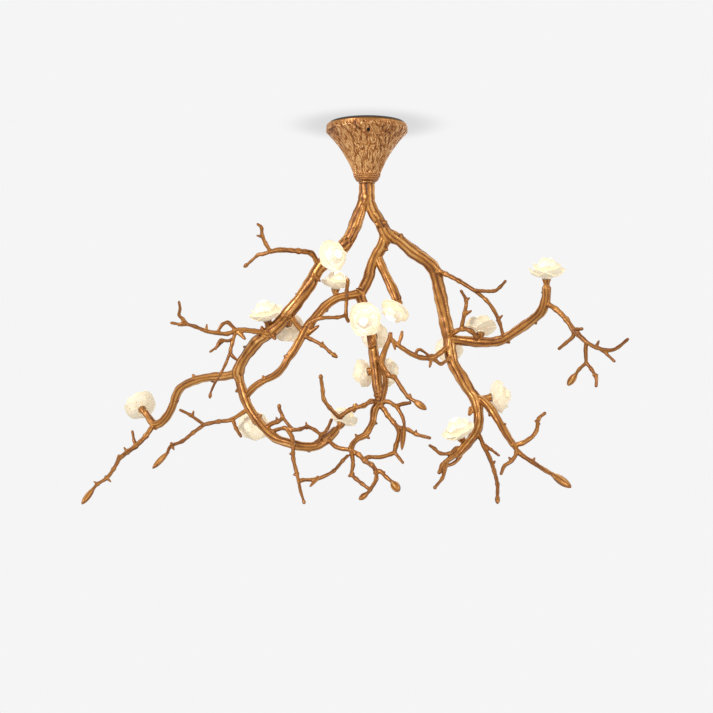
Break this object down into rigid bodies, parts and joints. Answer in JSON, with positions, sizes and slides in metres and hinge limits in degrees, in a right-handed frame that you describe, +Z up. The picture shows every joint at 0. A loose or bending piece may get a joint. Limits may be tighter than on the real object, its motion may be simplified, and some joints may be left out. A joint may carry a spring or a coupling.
{
  "type": "branch chandelier",
  "caption": "Ceiling light of cast bronze branches hanging from a trumpet canopy, with twigs, buds and lit porcelain flowers.",
  "frame": {"origin": "centre of the ceiling plate's upper face, in the ceiling plane", "axes": "+Z up along the stem, +X to the right and +Y away from a viewer in front"},
  "size_m": [0.9594, 0.4274, 0.695],
  "materials": {
    "zinc_plate": "zinc plated",
    "gilt_bronze": "cast, gilt brown patina",
    "dark_screws": "blackened",
    "driver_case": "moulded",
    "terminal_plastic": "moulded",
    "lead_jacket": "matt",
    "loom_jacket": "matt",
    "holder_ceramic": "ceramic",
    "petal_porcelain": "translucent glazed porcelain",
    "lamp_capsule": "frosted, lit"
  },
  "bodies": {
    "ceiling_fixing": {"ceiling_plate": "zinc_plate", "hanger_bridge": "zinc_plate", "canopy": "gilt_bronze", "canopy_screws": "dark_screws", "led_driver": "driver_case", "plate_screws": "zinc_plate", "terminal_block": "terminal_plastic", "terminal_screws": "zinc_plate", "input_lead": "lead_jacket", "output_lead": "lead_jacket"},
    "tree": {"stem": "zinc_plate", "stem_washer": "zinc_plate", "stem_nut": "zinc_plate", "neck_collar": "gilt_bronze", "wiring_loom": "loom_jacket", "lampholders": "holder_ceramic", "trunk": "gilt_bronze", "left_limb": "gilt_bronze", "left_outer_limb": "gilt_bronze", "left_lower_limb": "gilt_bronze", "centre_limb": "gilt_bronze", "centre_left_limb": "gilt_bronze", "centre_spray": "gilt_bronze", "right_limb": "gilt_bronze", "right_branch": "gilt_bronze", "lower_right_limb": "gilt_bronze", "flower_01": "petal_porcelain", "flower_02": "petal_porcelain", "flower_03": "petal_porcelain", "flower_04": "petal_porcelain", "flower_05": "petal_porcelain", "flower_06": "petal_porcelain", "flower_07": "petal_porcelain", "flower_08": "petal_porcelain", "flower_09": "petal_porcelain", "flower_10": "petal_porcelain", "flower_11": "petal_porcelain", "flower_12": "petal_porcelain", "flower_13": "petal_porcelain", "flower_14": "petal_porcelain", "flower_15": "petal_porcelain", "flower_16": "petal_porcelain", "flower_17": "petal_porcelain"},
    "lamp_body_01": {"lamp_01": "lamp_capsule"},
    "lamp_body_02": {"lamp_02": "lamp_capsule"},
    "lamp_body_03": {"lamp_03": "lamp_capsule"},
    "lamp_body_04": {"lamp_04": "lamp_capsule"},
    "lamp_body_05": {"lamp_05": "lamp_capsule"},
    "lamp_body_06": {"lamp_06": "lamp_capsule"},
    "lamp_body_07": {"lamp_07": "lamp_capsule"},
    "lamp_body_08": {"lamp_08": "lamp_capsule"},
    "lamp_body_09": {"lamp_09": "lamp_capsule"},
    "lamp_body_10": {"lamp_10": "lamp_capsule"},
    "lamp_body_11": {"lamp_11": "lamp_capsule"},
    "lamp_body_12": {"lamp_12": "lamp_capsule"},
    "lamp_body_13": {"lamp_13": "lamp_capsule"},
    "lamp_body_14": {"lamp_14": "lamp_capsule"},
    "lamp_body_15": {"lamp_15": "lamp_capsule"},
    "lamp_body_16": {"lamp_16": "lamp_capsule"},
    "lamp_body_17": {"lamp_17": "lamp_capsule"}
  },
  "joints": [
    {"name": "tree_swivel", "type": "hinge", "parent": "ceiling_fixing", "child": "tree", "pos_m": [0, 0, -0.05], "axis": [0, 0, 1], "range_deg": [-170, 170]},
    {"name": "lamp_01_pull", "type": "slide", "parent": "tree", "child": "lamp_body_01", "axis": [-0.366, 0.7849, 0.5], "range_m": [0, 0.012]},
    {"name": "lamp_02_pull", "type": "slide", "parent": "tree", "child": "lamp_body_02", "axis": [0.5665, -0.8091, 0.1564], "range_m": [0, 0.012]},
    {"name": "lamp_03_pull", "type": "slide", "parent": "tree", "child": "lamp_body_03", "axis": [0.104, -0.1801, 0.9781], "range_m": [0, 0.012]},
    {"name": "lamp_04_pull", "type": "slide", "parent": "tree", "child": "lamp_body_04", "axis": [-0.2034, -0.3522, 0.9135], "range_m": [0, 0.012]},
    {"name": "lamp_05_pull", "type": "slide", "parent": "tree", "child": "lamp_body_05", "axis": [-0.0319, 0.913, -0.4067], "range_m": [0, 0.012]},
    {"name": "lamp_06_pull", "type": "slide", "parent": "tree", "child": "lamp_body_06", "axis": [-0.1324, -0.9418, -0.309], "range_m": [0, 0.012]},
    {"name": "lamp_07_pull", "type": "slide", "parent": "tree", "child": "lamp_body_07", "axis": [-0.4742, -0.3705, -0.7986], "range_m": [0, 0.012]},
    {"name": "lamp_08_pull", "type": "slide", "parent": "tree", "child": "lamp_body_08", "axis": [0.3073, 0.9458, 0.1045], "range_m": [0, 0.012]},
    {"name": "lamp_09_pull", "type": "slide", "parent": "tree", "child": "lamp_body_09", "axis": [-0.8109, 0.547, -0.2079], "range_m": [0, 0.012]},
    {"name": "lamp_10_pull", "type": "slide", "parent": "tree", "child": "lamp_body_10", "axis": [0.6123, 0.7837, -0.1045], "range_m": [0, 0.012]},
    {"name": "lamp_11_pull", "type": "slide", "parent": "tree", "child": "lamp_body_11", "axis": [0.3536, 0.3536, 0.866], "range_m": [0, 0.012]},
    {"name": "lamp_12_pull", "type": "slide", "parent": "tree", "child": "lamp_body_12", "axis": [-0.2095, 0.8403, -0.5], "range_m": [0, 0.012]},
    {"name": "lamp_13_pull", "type": "slide", "parent": "tree", "child": "lamp_body_13", "axis": [0.0475, 0.4515, 0.891], "range_m": [0, 0.012]},
    {"name": "lamp_14_pull", "type": "slide", "parent": "tree", "child": "lamp_body_14", "axis": [0, 0.9511, -0.309], "range_m": [0, 0.012]},
    {"name": "lamp_15_pull", "type": "slide", "parent": "tree", "child": "lamp_body_15", "axis": [0, -0.1392, 0.9903], "range_m": [0, 0.012]},
    {"name": "lamp_16_pull", "type": "slide", "parent": "tree", "child": "lamp_body_16", "axis": [0.9728, 0.2068, 0.1045], "range_m": [0, 0.012]},
    {"name": "lamp_17_pull", "type": "slide", "parent": "tree", "child": "lamp_body_17", "axis": [-0.3596, -0.3018, 0.8829], "range_m": [0, 0.012]}
  ]
}
